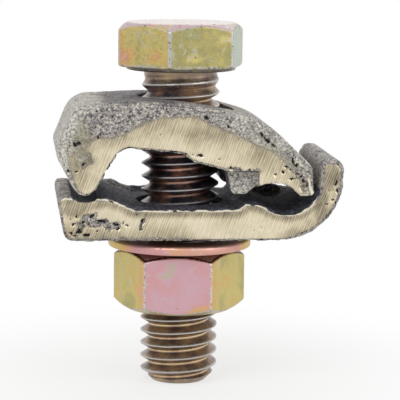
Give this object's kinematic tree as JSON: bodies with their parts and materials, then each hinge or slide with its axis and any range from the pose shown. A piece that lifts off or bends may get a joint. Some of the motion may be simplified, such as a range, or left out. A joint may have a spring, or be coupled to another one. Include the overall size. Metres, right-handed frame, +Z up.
{
  "type": "cable to plate ground connector",
  "caption": "Cast ground connector: a rocking upper jaw clamps a cable into the hook of the lower jaw, and the bolt through both, with washer and nut, fastens it to a plate.",
  "frame": {"origin": "where the bolt axis meets the underside of the lower jaw, which lies on the plate", "axes": "+Z up along the bolt towards its head, +X along the jaws towards the hook, -Y towards the viewer of the picture"},
  "size_m": [0.034, 0.018, 0.0438],
  "materials": {
    "cast_jaw": "rough as cast, ground bright on the two sides",
    "yellow_zinc": "yellow iridescent zinc plating"
  },
  "bodies": {
    "base": {"lower_jaw": "cast_jaw"},
    "jaw": {"upper_jaw": "cast_jaw"},
    "bolt": {"hex_bolt": "yellow_zinc"},
    "washer": {"flat_washer": "yellow_zinc"},
    "nut": {"hex_nut": "yellow_zinc"}
  },
  "joints": [
    {"name": "upper_jaw_rock", "type": "hinge", "parent": "base", "child": "jaw", "pos_m": [-0.01185, 0, 0.007], "axis": [0, -1, 0], "range_deg": [-0.5, 9]},
    {"name": "bolt_slide", "type": "slide", "parent": "base", "child": "bolt", "axis": [0, 0, 1], "range_m": [-0.001, 0.0004]},
    {"name": "washer_travel", "type": "slide", "parent": "bolt", "child": "washer", "axis": [0, 0, 1], "range_m": [-0.00838, 0.00026]},
    {"name": "nut_turn", "type": "hinge", "parent": "washer", "child": "nut", "pos_m": [0, 0, -0.0055], "axis": [0, 0, 1], "range_deg": [-1900, 60]}
  ],
  "couplings": [
    {"joint": "washer_travel", "follows": "nut_turn", "m_per_rad": 0.00025266}
  ]
}
